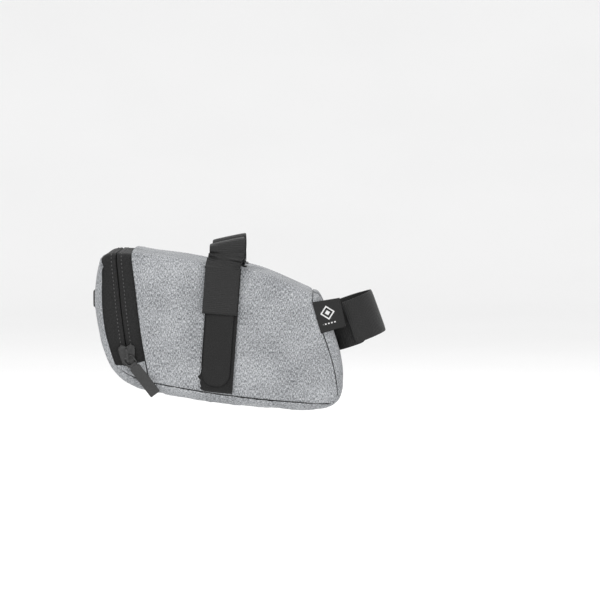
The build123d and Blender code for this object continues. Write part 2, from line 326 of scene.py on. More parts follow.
# %% The strip round the bag
STRIP_OUT = [(47.6, -24.9), (50.8, -26.4), (53.6, -32.0), (57.6, -44.4), (60.7, -54.0), (62.9, -64.1),
             (63.2, -73.8), (62.4, -81.4), (57.8, -86.2), (50.0, -87.9), (40.6, -88.4), (24.0, -87.4), (7.0, -85.6),
             (-14.0, -82.6), (-33.8, -79.0), (-45.4, -76.9), (-51.1, -74.5), (-55.7, -71.9), (-59.2, -68.4),
             (-63.6, -61.9), (-66.9, -53.2), (-69.0, -43.0), (-70.6, -32.5), (-70.8, -25.0), (-70.2, -17.5),
             (-69.4, -11.2), (-68.1, -4.6)]
STRIP_SEAM = [(47.3, -29.2), (48.0, -31.2), (49.6, -36.4), (52.6, -46.0), (55.8, -55.0), (58.4, -64.1),
              (60.3, -73.6), (60.5, -80.6), (56.4, -84.7), (48.6, -84.8), (38.6, -84.0), (23.0, -82.7), (6.9, -80.8),
              (-14.7, -77.6), (-32.4, -74.3), (-41.5, -72.7), (-46.8, -71.0), (-52.0, -68.6), (-56.4, -66.2),
              (-60.2, -62.6), (-63.4, -53.2), (-65.8, -43.4), (-67.0, -33.4), (-67.3, -25.6), (-67.2, -18.0),
              (-67.2, -13.0), (-67.1, -9.0)]
HINGE_SHARE = 15 / 26       # where the cover begins: 15 of the 26 steps between those points


def strip_frames(first, last, rows):
    """The strip's outline and seam between two shares of its length, both read at the same share
    of their own control points, and the outward direction across the outline."""
    share = np.linspace(first, last, rows)
    line = cubic(np.linspace(0, 1, len(STRIP_OUT)), np.hstack([STRIP_OUT, STRIP_SEAM]), share)
    out, seam = line[:, :2], line[:, 2:]
    along = unit(np.gradient(out, axis=0))
    return share, out, seam, np.stack([-along[:, 1], along[:, 0]], -1)


POST, POST_CLEAR = np.array([67.9, 0.0, -39.8]), 15.3   # on the seatpost's axis, and the room it needs
TILT = np.radians(20)
POST_X = np.array([np.cos(TILT), 0, np.sin(TILT)])
POST_Z = np.array([-np.sin(TILT), 0, np.cos(TILT)])


def clear_of_post(p, radius):
    """Moves points that are nearer than radius to the seatpost's axis straight out to it."""
    d = p - POST
    d = d - (d @ POST_Z)[..., None] * POST_Z
    length = np.linalg.norm(d, axis=-1, keepdims=True)
    return p + unit(d) * np.clip(radius - length, 0, None)


def strip_grid(first, last, rows, arc, middle, depth):
    """Points of the strip. From the seam, a quarter of an ellipse turns out to the outline; then it
    crosses straight over. Depth moves each point along its outside normal."""
    share, out, seam, normal = strip_frames(first, last, rows)
    quarter = np.pi / 2 * np.linspace(0, 1, arc) ** 1.5
    turn = np.r_[quarter, np.full(middle, np.pi / 2), np.pi - quarter[::-1]]
    k = np.r_[-np.ones(arc), np.linspace(-1, 1, middle + 2)[1:-1], np.ones(arc)]
    s, c = np.sin(turn)[None, :, None], np.cos(turn)[None, :]
    w = half_width(seam[:, 0])[:, None]
    xz = seam[:, None] + (out - seam)[:, None] * s
    y = k * (w - FOLD) - FOLD * c
    side_n = np.cos(turn)[None, :, None] * np.array([0, -1, 0])
    face_n = s * np.stack([normal[:, 0], 0 * share, normal[:, 1]], -1)[:, None]
    base = np.stack([xz[..., 0], y, xz[..., 1]], -1)
    n = unit(side_n + face_n)
    uv = np.stack([y + FOLD * turn, run(out)[:, None] + 0 * y], -1)
    if callable(depth):
        depth = depth(share[:, None] + 0 * y, turn[None] + 0 * y, k[None] + 0 * y, uv)
    return clear_of_post(base + n * (np.zeros_like(y) + depth)[..., None], POST_CLEAR), uv


def strip_depth(share, turn, k, uv):
    """Padding and edges of the strip: dips into the seam along bottom and front, stands proud with
    a rounded hem beside the zip, swells a little in the middle of the rear, and gathers at the seam."""
    side = np.pi / 2 - np.abs(turn - np.pi / 2)
    edge = hem_drop(side * 4.2, SEAM_R)
    sewn = 1 - smooth((share - 0.70) / 0.04)
    ripple = np.sin(uv[..., 1] / 1.1 + 2 * np.sin(uv[..., 1] / 9))
    gather = 0.35 * ripple * np.cos(turn) ** 2 * np.sin(turn)
    swell = 0.7 * (1 - k**2) * smooth((share - 0.62) / 0.1) * np.sin(turn)
    hem = hem_drop(side * 3.0, 0.7) - 0.35 * np.exp(-side * 2.0)
    ends = hem_drop(share * 330.0, SEAM_R) + hem_drop((1 - share) * 240.0, 0.7)
    return sewn * (gather - edge) + swell - (1 - sewn) * hem - ends

# %% [markdown]
# Sewn, padded cloth is never as smooth as its pattern. Blender's cloth solver blows
# each panel out a little between its seams and lets spare cloth buckle near them.
# It works on every second point, held at seams and under straps, and only its
# movement is kept, capped, and spread back to the full grid.

# %% Letting the panels settle
PRESSURE, SPARE, FRAMES = 4.0, 0.012, 20        # air inside, share of spare cloth, steps


def settle(name, grid, held, cap=1.2):
    """The grid after the cloth solver, each point's movement capped. Held is 1 where the cloth is
    sewn. The coarse movement goes back to the full grid by straight-line blending along rows, then
    along columns."""
    coarse, held = grid[::2, ::2], np.round(held[::2, ::2].ravel(), 2)
    obj = linked(name, mesh_of(name, coarse, quads(np.arange(held.size).reshape(coarse.shape[:2]))))
    group = obj.vertex_groups.new(name="sewn")
    for level in (0.35, 0.7, 1.0):
        group.add(np.flatnonzero(held >= level).tolist(), level, "REPLACE")
    mod = obj.modifiers.new("cloth", "CLOTH")
    c = mod.settings
    c.quality, c.mass = 5, 0.1
    c.use_pressure, c.uniform_pressure_force = True, PRESSURE
    c.effector_weights.gravity = 0
    c.shrink_min = -SPARE
    c.tension_stiffness = c.compression_stiffness = 15
    c.bending_stiffness = 0.2
    c.vertex_group_mass = "sewn"
    mod.point_cache.frame_start, mod.point_cache.frame_end = 1, FRAMES
    for frame_number in range(1, FRAMES + 1):
        bpy.context.scene.frame_set(frame_number)
    seen = obj.evaluated_get(bpy.context.evaluated_depsgraph_get()).data
    moved = np.zeros(len(seen.vertices) * 3)
    seen.vertices.foreach_get("co", moved)
    bpy.context.scene.frame_set(1)
    bpy.data.objects.remove(obj)
    shift = moved.reshape(coarse.shape) / MM - coarse
    size = np.linalg.norm(shift, axis=-1, keepdims=True)
    shift = shift * np.minimum(1, cap / np.maximum(size, 1e-9))
    print(f"{name}: moved {size.mean():.2f} mm on average, {size.max():.2f} at most, capped at {cap}")
    rows, cols = np.arange(grid.shape[0]) / 2, np.arange(grid.shape[1]) / 2
    r = np.minimum(rows.astype(int), coarse.shape[0] - 2)
    q = np.minimum(cols.astype(int), coarse.shape[1] - 2)
    fr, fq = (rows - r)[:, None, None], (cols - q)[None, :, None]
    tall = shift[r] * (1 - fr) + shift[r + 1] * fr
    return grid + tall[:, q] * (1 - fq) + tall[:, q + 1] * fq

# %% [markdown]
# Three pieces of grey cloth close the bag. Each is held along its seams, and the
# main one also under the straps and, for the most part, over the top.

# %% The panels and the strip
CLOTH_THICK, FILL = 0.8, 0.6


def padded_piece(name, node, grid, uv, bodies):
    """A fabric panel: the settled grid as its face, and a back that thickness below it."""
    n = facing(grid)
    middle = grid.shape[1] // 2
    if (n[:, middle] * (grid[:, middle] - np.array([0, 0, -42.0]))).sum() < 0:
        n = -n
    obj = shell(name, grid, grid - n * CLOTH_THICK, uv)
    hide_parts(node)
    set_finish(obj, "grey_polyester")
    if len(bodies) == 1:
        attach(obj, bodies[0])
    print(name, "has", len(obj.data.polygons), "faces")
    return obj


COLUMNS = wrap_columns(61, 8, 35)
main_x, main_z = main_grid(141, COLUMNS)
main_face = wrapped(main_x, main_z, COLUMNS, main_depth(main_x, main_z, COLUMNS))
main_face = clear_of_post(main_face, POST_CLEAR)
v, turn, k = COLUMNS
rows = crowded(141, 0.7)[:, None]
edge_gap = np.minimum(np.minimum(v * SIDE_TALL, (1 - rows) * PANEL_LONG), rows * PANEL_LONG)
under_strap = 1 - smooth((np.abs(main_x + 3.0) - 10.5) / 4.0)
over_top = 0.75 * np.sin(turn)[None, :] + 0 * main_x
sewn = 1 - smooth((edge_gap - 2.0) / 4.0)
held = np.clip(np.maximum(np.maximum(sewn, under_strap), over_top), 0, 1)
main_face = settle("main_panel_cloth", main_face, held)
main_uv = wrapped_uv(main_x, main_z, COLUMNS)
panel_main = padded_piece("panel_main", "main_panel", main_face, main_uv, ["root"])


def strip_held(face, arc):
    """Held at both seams and at the first and last rows."""
    columns = np.arange(face.shape[1])
    gap = np.minimum(columns, columns[::-1])[None, :] / (arc * 0.6)
    ends = np.minimum(np.arange(face.shape[0]), np.arange(face.shape[0])[::-1])[:, None] / 4.0
    return 1 - smooth(np.minimum(gap, ends) * np.ones(face.shape[:2]))


front_face, front_uv = strip_grid(0, HINGE_SHARE, 201, 13, 35, strip_depth)
front_face = settle("front_strip_cloth", front_face, strip_held(front_face, 13), cap=0.8)
front_face = clear_of_post(front_face, POST_CLEAR)
strip_front = padded_piece("strip_front", "gusset_panel", front_face, front_uv, ["root"])

rear_face, rear_uv = strip_grid(HINGE_SHARE, 1, 141, 13, 35, strip_depth)
rear_face = settle("rear_cover_cloth", rear_face, strip_held(rear_face, 13), cap=0.8)
strip_rear = padded_piece("strip_rear", "rear_cover_panel", rear_face, rear_uv, ["root", "cover"])
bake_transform(strip_rear)

# %% [markdown]
# Behind the fabric lie foam and a thin lining. They show only when the cover
# swings down, so they follow the same grids at their own depths, start a little in
# from the seams, and are not puffed up.

# %% Foam and lining
FOAM, LINING = (1.9, 3.1), (3.15, 3.5)      # where each layer begins and ends, below the panel
IN_COLUMNS = wrap_columns(25, 5, 15)
in_x, in_z = main_grid(45, IN_COLUMNS)
in_x = np.clip(in_x, line_x(HEM, in_z) + 1.5, 200)


def inner_main(depth):
    """The main panel's grid at one depth, drawn in from its seams."""
    middle = np.array([4.0, 0.0, -44.0])
    p = wrapped(in_x, in_z, IN_COLUMNS, depth)
    p = clear_of_post(p, POST_CLEAR - depth)
    low = np.clip((-p[..., 2] - 70) / 16, 0, 1)[..., None]
    return p + low * np.array([0, 0, 2.0]) + 0.012 * (middle - p) * np.array([1, 0, 0])


def inner_strip(first, last, rows):
    """The strip's grid at any depth, drawn in from its seams."""
    return lambda depth: strip_grid(first, last, rows, 7, 15, depth)[0]


soft_layers = []
in_strip, in_cover = (0.01, HINGE_SHARE, 61), (0.66, 0.99, 45)
for part, node, face_at, uv, body in (
        ("main", "main", inner_main, wrapped_uv(in_x, in_z, IN_COLUMNS), "root"),
        ("strip", "gusset", inner_strip(*in_strip), strip_grid(*in_strip, 7, 15, 0.0)[1], "root"),
        ("cover", "rear_cover", inner_strip(*in_cover), strip_grid(*in_cover, 7, 15, 0.0)[1], "cover")):
    for layer, depths, slot in (("foam", FOAM, "foam"), ("lining", LINING, "lining_cloth")):
        obj = shell(f"{layer}_{part}", face_at(-depths[0]), face_at(-depths[1]), uv)
        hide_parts(f"{node}_{layer}")
        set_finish(obj, slot)
        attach(obj, body)
        soft_layers.append(obj.name)
print("inner layers:", ", ".join(soft_layers))

# %% [markdown]
# The zip runs up one side, over the top and down the other side. Each half is a
# woven tape that lies a little below the panels, with a rolled inner edge. A coil of
# nylon is sewn behind each edge. A plain strip would do from afar, but the two rolled
# edges make the dark line in the middle that says zip.

# %% Zip tapes
def tape_end_z(x):
    """Height of the slanting line where the tapes' lower ends are covered: straight, and 2.5 mm
    up in 14.8."""
    return -64.0 + (x + 58.6) * (2.5 / 14.8)


def tape_grid(left, right, rows, columns, depth, tuck=1.5):
    """Points between two side lines, each row a share of the way from the left one to the right one.
    Each side column starts at the slanting lower end of the tape."""
    v, turn, k = columns
    share = np.linspace(0, 1, rows)[:, None]
    z = np.zeros((rows, len(v)))
    for _ in range(4):
        x_left, x_right = line_x(left[0], z) + left[1], line_x(right[0], z) + right[1]
        x = x_left + (x_right - x_left) * share
        low = tape_end_z(x) - tuck
        high = top_z(x) - FOLD
        z = low + (high - low) * v
    return wrapped(x, z, columns, depth(share * np.ones_like(z))), wrapped_uv(x, z, columns)


TAPE_COLUMNS = wrap_columns(81, 9, 31)
TAPE, TAPE_THICK = -0.85, 0.5       # depth of the tape's face, and its thickness


def body_roll(share):
    """Depth across the body tape: it rolls down over the last millimetre beside the zip's middle."""
    return TAPE + 0.25 * (1 - smooth(share / 0.35)) - hem_drop(share * 9.0, 0.55)


for name, left, right, roll, body in (
        ("body", (ZIP_LINE, 0.22), (HEM, 1.6), body_roll, "root"),
        ("cover", (COVER_LINE, -0.6), (ZIP_LINE, -0.22), lambda share: body_roll(1 - share), "cover")):
    face, uv = tape_grid(left, right, 17, TAPE_COLUMNS, roll)
    back, _ = tape_grid(left, right, 17, TAPE_COLUMNS, lambda share: roll(share) - TAPE_THICK)
    tape = shell(f"tape_{name}", face, back, uv)
    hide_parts(f"zip_tape_{name}")
    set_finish(tape, "zip_tape")
    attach(tape, body)
    print(tape.name, "has", len(tape.data.polygons), "faces")

# %% [markdown]
# Thread, coil turns and bar tacks are one small shape many times over. A capsule of
# a few dozen faces is laid along each stitch in one array sum, and all the stitches
# of a seam become one mesh, so hundreds of them stay light.

# %% Stitches
RINGS, AROUND = 6, 6        # of each stitch, its poles counted as rings


def stitches(name, start, end, up, radius, body, slot="binding_tape"):
    """One capsule from each start to its end. Points: start plus the way along, plus radius times a
    circle in the side and up directions. The radius follows the sine of the way along, to a small
    power, so each capsule is full in the middle. Each pole's points are merged, so that it closes."""
    t = np.linspace(0, 1, RINGS)
    r = np.sin(np.pi * t) ** 0.45
    r[[0, -1]] = 0
    a = np.arange(AROUND) * 2 * np.pi / AROUND
    index = np.arange(RINGS * AROUND).reshape(RINGS, AROUND)
    faces = quads(np.concatenate([index, index[:, :1]], 1))
    along = end - start
    side = unit(np.cross(along, up))
    lift = unit(np.cross(side, along))
    circle = (np.cos(a)[None, None, :, None] * side[:, None, None]
              + np.sin(a)[None, None, :, None] * lift[:, None, None])
    p = (start[:, None, None] + along[:, None, None] * t[None, :, None, None]
         + radius * r[None, :, None, None] * circle)
    faces = (faces[None] + np.arange(len(start))[:, None, None] * index.size).reshape(-1, 4)
    mesh = mesh_of(name, p, faces)
    bm = bmesh.new()
    bm.from_mesh(mesh)
    bmesh.ops.remove_doubles(bm, verts=bm.verts, dist=1e-7)
    bmesh.ops.recalc_face_normals(bm, faces=bm.faces)
    bm.to_mesh(mesh)
    bm.free()
    obj = linked(name, mesh)
    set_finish(obj, slot)
    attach(obj, body)
    return obj


def spaced(line, up, length, gap):
    """Starts, ends and up directions of stitches of one length along a line, with gaps between."""
    s = run(line)
    first = np.arange(gap / 2, s[-1] - length, length + gap)

    def pick(x, values):
        return np.stack([np.interp(x, s, values[:, i]) for i in range(3)], -1)
    return pick(first, line), pick(first + length, line), pick(first + length / 2, up)


def tape_line(offset, lift, columns, tuck=0.5):
    """A line that runs beside the zip's middle at an offset, and the outside normal along it."""
    v, turn, _ = columns
    z = np.zeros(len(v))
    for _ in range(4):
        x = line_x(ZIP_LINE, z) + offset
        low = tape_end_z(x) - tuck
        z = low + (top_z(x) - FOLD - low) * v
    p = wrapped(x, z, columns, lift)
    n = np.stack([0 * turn, -np.cos(turn), np.sin(turn)], -1)
    return p, n


LONG_COLUMNS = wrap_columns(120, 14, 60)
THREAD_OFFSET, COIL_OFFSET = 2.7, 1.15      # from the zip's middle, on each side
for name, sign, body in (("body", 1, "root"), ("cover", -1, "cover")):
    line, up = tape_line(sign * THREAD_OFFSET, TAPE + 0.12, LONG_COLUMNS)
    row = stitches(f"zip_thread_{name}", *spaced(line, up, 1.2, 0.9), 0.26, body, "zip_tape")
    row["finish"] = "zip_thread"
for name, sign, body in (("body", 1, "root"), ("cover", -1, "cover")):
    line, up = tape_line(sign * COIL_OFFSET, TAPE - 1.1, LONG_COLUMNS, tuck=-1.5)
    mid, _, up = spaced(line, up, 0.5, 0.6)
    along_x = np.array([1.0, 0, 0]) * np.ones_like(mid)
    coil = stitches(f"coil_{name}", mid - along_x, mid + along_x, up, 0.42, body, "zip_coil")
    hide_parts(f"zip_coil_{name}")
    print(coil.name, "has", len(mid), "turns, one every 1.1 mm")

# %% [markdown]
# Straps are ribbons: a flat, soft-cornered section carried along a path. A cloth
# solver would only blur their crisp edges, so they are worked out directly. The
# same ribbon gives webbing, hook tab, loop tape and binding, with other widths.

# %% Ribbons
SECTION, SQUARE = 28, 4.0       # points in a section, and its power: 2 is an ellipse, more is squarer


def ribbon(name, path, across, width, thick, slot, round_end=0.0):
    """Closed ribbon. Section: a superellipse, whose half width follows the sign and the 2/SQUARE
    power of the cosine, and half thickness those of the sine. Over a rounded end the width narrows
    as a circle does, and at both ends the thickness closes as a quarter circle."""
    m = SECTION
    a = (np.arange(m) + 0.5) * 2 * np.pi / m
    su = np.sign(np.cos(a)) * np.abs(np.cos(a)) ** (2 / SQUARE)
    sv = np.sign(np.sin(a)) * np.abs(np.sin(a)) ** (2 / SQUARE)
    s = run(path)
    along = unit(np.gradient(path, s, axis=0))
    across = unit(across - (across * along).sum(-1, keepdims=True) * along)
    up = np.cross(across, along)
    narrow = np.ones(len(s)) * width / 2
    if round_end:
        narrow = narrow - hem_drop(s[-1] - s + 1e-4, round_end)
    near = np.minimum(s, s[-1] - s)
    flat = np.sqrt(np.clip(1 - (1 - np.clip(near / (thick * 0.6), 0, 1)) ** 2, 0.02, 1)) * thick / 2
    p = (path[:, None] + across[:, None] * (narrow[:, None] * su)[..., None]
         + up[:, None] * (flat[:, None] * sv)[..., None])
    uv = np.stack([narrow[:, None] * su, s[:, None] + 0 * su], -1)
    index = np.arange(len(s) * m).reshape(-1, m)
    i = np.arange(m // 2 - 1)
    first, last = (np.stack([row[i], row[i + 1], row[m - 2 - i], row[m - 1 - i]], -1)
                   for row in (index[0], index[-1]))
    faces = np.concatenate([quads(np.concatenate([index, index[:, :1]], 1)), first, last[:, ::-1]])
    obj = finish_mesh(name, p.reshape(-1, 3), faces, uv.reshape(-1, 2))
    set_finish(obj, slot)
    return obj


# %% [markdown]
# Each rail strap is sewn to the top of the bag, climbs round a saddle rail, folds
# down over the side and ends in a hook tab that presses on a fuzzy loop tape. The
# webbing is one ribbon that bends at the crease, baked where it lies and attached to neither body.

# %% Rail straps
def side_point(x, z, n):
    """A point at a height n above the right side."""
    return np.stack([x, -(half_width(x) + n), z], -1)


LEAN_RATE = (-6.4 + 1.6) / (-74.6 + 9.4)


def strap_mid(z):
    """X of the strap's middle line on the side: it leans to the rear as it goes down."""
    return -1.6 + LEAN_RATE * (z + 9.4)


def rail_strap_path():
    """Foot on the top, round the rail, out over the fold and down the side; and its across vectors,
    which turn from the slope of the top to the tilt of the rail and then to the lean of the side."""
    top = float(top_z(np.array(0.5))) + 1.5
    foot = [(0.8, -9.6, top), (0.8, -12.5, top), (0.8, -15.6, top + 0.1), (0.7, -17.4, top + 1.4)]
    turn = np.radians([180, 155, 130, 105, 80, 55, 30, 0])
    loop = [(0.6, -22.0 + 4.25 * -np.cos(t), 4.25 * np.sin(t)) for t in turn]
    leg = [(0.4, -26.4, -2.6), (-0.4, -27.3, -5.2), (-1.1, -28.3, -7.4)]
    z = np.array([-9.6, -12.0, -20.0, -30.0, -35.4])
    side = side_point(strap_mid(z), z, 2.6)
    points = np.concatenate([foot, [(0.6, -17.75, -3.0)], loop, leg, side])
    path = through(points, crowded(150, 0.25))
    s = np.linspace(0, 1, len(path))
    slope = np.interp(s, [0, 0.14, 0.28, 0.48, 0.58, 1], np.radians([-10, -10, 12, 12, 4, -4.2]))
    across = np.stack([np.cos(slope), 0 * slope, np.sin(slope)], -1)
    outer = path[:, 1] < -24
    fold = 0.3 * sum(np.exp(-((path[:, 2] - z0) / 0.6) ** 2) for z0 in (-4.6, -6.6)) * outer
    return path + fold[:, None] * np.array([0, -1, 0]), across


def mirrored(p):
    """The same points on the other side of the bag: Y changes its sign."""
    return p * np.array([1, -1, 1])


SIDES = (("right", lambda p: p), ("left", mirrored))
PATH, ACROSS = rail_strap_path()
hook_z = -31.0 - (74.6 - 31.0) * crowded(70, 0.6)
HOOK = side_point(strap_mid(hook_z) + 0.3, hook_z, 1.55)
loop_z = -9.8 - (78.3 - 9.8) * crowded(60, 0.5)
LOOP = side_point(strap_mid(loop_z), loop_z, 0.45 - 0.9 * smooth((-76.5 - loop_z) / 2.5))
SIDE_ACROSS = np.array([1.0, -0.05, -LEAN_RATE])
patch_y = -7.2 - 12.6 * crowded(30, 0.5)
PATCH = np.stack([0.5 + 0 * patch_y, patch_y, top_z(np.array(0.5)) + 0.45 + 0 * patch_y], -1)

HOOK_ACROSS, LOOP_ACROSS = (np.tile(SIDE_ACROSS, (len(line), 1)) for line in (HOOK, LOOP))
PATCH_ACROSS = np.tile([0.985, 0, -0.17], (len(PATCH), 1))
for side, flip in SIDES:
    web = ribbon(f"webbing_{side}", flip(PATH), ACROSS, 19.0, 1.25, "black_webbing")
    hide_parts(f"rail_strap_{side}", f"rail_strap_end_{side}")
    sign = -1 if side == "right" else 1
    end_body = f"rail_strap_end_{side}"
    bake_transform(web)
    hook = ribbon(f"hook_tab_{side}", flip(HOOK), HOOK_ACROSS, 15.0, 0.8, "hook_tape", round_end=6.8)
    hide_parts(f"rail_strap_hook_{side}")
    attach(hook, end_body)
    pile = ribbon(f"loop_tape_{side}_cloth", flip(LOOP), LOOP_ACROSS, 20.0, 0.85, "loop_tape")
    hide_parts(f"loop_tape_{side}")
    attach(pile, "root")
    pad = ribbon(f"anchor_{side}", flip(PATCH), PATCH_ACROSS, 22.0, 0.9, "black_webbing")
    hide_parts(f"strap_anchor_patch_{side}")
    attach(pad, "root")
    for edge, row in (("rear", -8.6), ("front", 8.6)):
        line = LOOP[3:-3] + row * unit(SIDE_ACROSS) + np.array([0, -0.40, 0])
        up = np.tile([0, -1.0, 0], (len(line), 1))
        seam = spaced(flip(line), flip(up), 1.7, 0.9)
        stitches(f"loop_thread_{side}_{edge}", *seam, 0.17, "root")
print("rail straps:", len(PATH), "sections each")

# %% [markdown]
# The seatpost strap has two arms sewn into the front of the bag. The left arm goes
# round the post and laps over the right one. The lap is baked closed and attached to no body.

# %% Seatpost strap
def post_point(angle, radius, height):
    """A point round the seatpost: radius in the direction of the angle from straight ahead, and
    height up the post."""
    a = np.radians(angle)
    return (POST + (radius * np.cos(a))[:, None] * POST_X
            + (radius * np.sin(a))[:, None] * np.array([0, 1.0, 0])
            + (height + 0 * a)[:, None] * POST_Z)


ARM_R, ARM_THICK = 14.3, 1.15       # radius of the strap's middle round the post, and its thickness


def arm(name, first, last, radius, height, width, n=70, **ends):
    """A ribbon that follows a part circle round the post."""
    angle = first + (last - first) * crowded(n, 0.3)
    r = radius(angle) if callable(radius) else radius + 0 * angle
    across = np.tile(POST_Z, (n, 1))
    return ribbon(name, post_point(angle, r, height), across, width, ARM_THICK, "black_webbing", **ends)


def lap_radius(angle):
    """The lap climbs 2 mm, as a smooth step, to pass over the right arm."""
    return ARM_R + 0.05 + 2.0 * smooth((38 - angle) / 30)


left_back = arm("post_arm_left", 192, 88, ARM_R, -1.0, 24.0)
lap = arm("post_arm_lap", 90, -95, lap_radius, -1.0, 24.0, n=120)
right_arm = arm("post_arm_right", 183, 298, ARM_R, -2.5, 23.0, round_end=6.0)
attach(left_back, "root")
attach(right_arm, "root")
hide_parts("seatpost_strap")
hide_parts("seatpost_strap_end")
hinge = post_point(np.array([16.0, -2.0]), np.array([15.4, 16.4]), -0.5) * MM
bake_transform(lap)
hook_angle = -30 - 64 * crowded(40)
hook_path = post_point(hook_angle, 15.45 + 0 * hook_angle, -0.5)
patch = ribbon("post_hook", hook_path, np.tile(POST_Z, (40, 1)), 21.0, 0.55, "hook_tape")
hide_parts("seatpost_strap_hook")
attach(patch, "seatpost_strap_end")
print("seatpost strap:", left_back.name, lap.name, right_arm.name, patch.name)

# %% [markdown]
# Small sewn things: the loop for a rear light across the cover, the folded tag in
# the front seam, and the bound seam allowance inside.

# %% Light loop, tag and bindings
y = np.linspace(-20, 20, 81)
out = 1.2 * smooth((15.2 - np.abs(y)) / 4.2)
rear_x = -70.75 - 0.6 - 0.7 * (1 - (y / 26) ** 2)
light_path = np.stack([rear_x - out, y, -28.0 + 0 * y], -1)
light = ribbon("light_webbing", light_path, np.tile([0, 0, 1.0], (81, 1)), 9.0, 1.1, "black_webbing")
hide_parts("light_loop")
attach(light, "cover")
for name, y0 in (("light_tack_right", -17.6), ("light_tack_left", 17.6)):
    z = np.linspace(-31.8, -24.2, 9)
    x0 = float(np.interp(y0, y, rear_x)) - 0.62
    start = np.stack([x0 + 0 * z, y0 - 1.5 + 0 * z, z], -1)
    end = start + np.array([0.0, 3.0, 0.35])
    stitches(name, start, end, np.tile([-1.0, 0, 0], (9, 1)), 0.2, "cover")

TAG = np.array([[(47.0, -29.0), (51.8, -46.2)], [(61.9, -26.6), (65.4, -42.2)]])    # its four corners
TAG_WIDE, TAG_TALL = 15.0, 17.5
a, b = np.linspace(0, 1, 33)[:, None, None], np.linspace(0, 1, 33)[None, :, None]
tag_xz = ((1 - a) * (1 - b) * TAG[0, 0] + (1 - a) * b * TAG[0, 1]
          + a * (1 - b) * TAG[1, 0] + a * b * TAG[1, 1])
a, b = a[..., 0] + 0 * b[..., 0], b[..., 0] + 0 * a[..., 0]
curl = 0.9 + 0.5 * a * np.cos(np.pi * (b - 0.5)) - hem_drop((1 - a) * TAG_WIDE, 0.35)
tag_face = side_point(tag_xz[..., 0], tag_xz[..., 1], curl)
tag_uv = np.stack([a * TAG_WIDE, b * TAG_TALL], -1)
tag = shell("tag", tag_face, tag_face + np.array([0, 0.7, 0]), tag_uv)
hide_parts("label_tag")
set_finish(tag, "woven_label")
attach(tag, "root")

_, _, bind_seam, bind_n = strip_frames(0.03, 0.56, 120)
for side, flip in SIDES:
    xz = bind_seam - bind_n * 0.6
    path = np.stack([xz[:, 0], -(half_width(xz[:, 0]) - 6.4), xz[:, 1]], -1)
    across = np.tile([0, 1.0, 0], (120, 1))
    band = ribbon(f"binding_{side}", flip(path), across, 5.6, 1.0, "binding_tape")
    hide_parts(f"seam_binding_{side}")
    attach(band, "root")
print(f"light loop {run(light_path)[-1]:.0f} mm, each binding {run(path)[-1]:.0f} mm")

# %% [markdown]
# The seam itself is a fine dark line: the cloths turn inwards there, black thread holds
# them, and the groove is in shade. A narrow black ribbon in that groove is both the thread and painted shadow.

# %% Seam thread and painted seam shadow
_, _, seam_shade_line, seam_shade_normal = strip_frames(0.0, 0.70, 300)
x, z = seam_shade_line.T
path = np.stack([x, -(half_width(x) - 0.75), z], -1)
across = np.stack([seam_shade_normal[:, 0], 0 * x, seam_shade_normal[:, 1]], -1)
for side, flip in SIDES:
    for part, rows in (("front", slice(0, 248)), ("rear", slice(247, 300))):
        name = f"seam_thread_{part}_{side}"
        # A black ribbon: the seam thread, and painted shadow in the seam's groove.
        line = ribbon(name, flip(path[rows]), across[rows], 1.3, 0.6, "binding_tape")
        if part == "rear":
            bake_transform(line)
        else:
            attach(line, "root")
print(f"seam thread: {run(path)[-1]:.0f} mm on each side")

# %% [markdown]
# Below the zip the cloth closes over the tape's ends in a small gathered patch. It
# lies along the same line as the strip, baked where it is and attached to no body.

# %% End tabs
TAB_TOP = [(-60.2, -63.0), (-54.8, -63.1), (-49.6, -62.2), (-44.3, -60.9)]
TAB_LOW = [(-60.2, -64.2), (-54.4, -67.6), (-48.2, -70.6), (-41.9, -72.8)]
a, b = np.linspace(0, 1, 37), np.linspace(0, 1, 21)[None, :]
upper, lower = through(TAB_TOP, a)[:, None], through(TAB_LOW, a)[:, None]
tab_xz = upper + (lower - upper) * b[..., None]
fold = (0.35 * np.sin(7 * a[:, None] + 5.0 * b) * np.sin(np.pi * b) - 0.7 * smooth((b - 0.8) / 0.2)
        - hem_drop(b * 8.0, 0.6) + 0.1)
face = side_point(tab_xz[..., 0], tab_xz[..., 1], fold)
for side, flip in SIDES:
    tab = shell(f"end_tab_{side}", flip(face), flip(face + np.array([0, CLOTH_THICK, 0])), tab_xz)
    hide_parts(f"zip_end_tab_{side}")
    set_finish(tab, "grey_polyester")
    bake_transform(tab)
    print(tab.name, "has", len(tab.data.polygons), "faces")

# %% [markdown]
# A finish is a small sum of patterns. Writing the sums as Python expressions keeps
# them readable: a wrapped socket adds, multiplies and compares like a number, and
# each operator lays down one Math node.

# %% Sockets that can be added up
class Wave:
    """A socket of a material, usable in arithmetic."""

    def __init__(self, tree, socket):
        self.tree, self.socket = tree, socket

    def node(self, kind, settings=None, inputs=None, out=0):
        """Any node: its settings first, a ramp's stops among them, then the values or links of
        its sockets."""
        n = self.tree.nodes.new(kind)
        for key, value in (settings or {}).items():
            if key == "stops":
                ramp = n.color_ramp
                while len(ramp.elements) < len(value):
                    ramp.elements.new(0.5)
                for element, (place, colour) in zip(ramp.elements, value):
                    element.position, element.color = place, (*colour, 1)
            else:
                setattr(n, key, value)
        for key, value in (inputs or {}).items():
            if isinstance(value, Wave):
                self.tree.links.new(value.socket, n.inputs[key])
            else:
                n.inputs[key].default_value = value
        return Wave(self.tree, n.outputs[out])

    def math(self, operation, *values):
        """A Math node on this socket and the other values."""
        sockets = dict(enumerate((self, *values)))
        return self.node("ShaderNodeMath", {"operation": operation}, sockets)

    def __add__(self, other): return self.math("ADD", other)
    def __sub__(self, other): return self.math("SUBTRACT", other)
    def __mul__(self, other): return self.math("MULTIPLY", other)
    def __gt__(self, other): return self.math("GREATER_THAN", other)
    def __lt__(self, other): return self.math("LESS_THAN", other)
    def clamp(self): return self.math("MINIMUM", 1.0).math("MAXIMUM", 0.0)


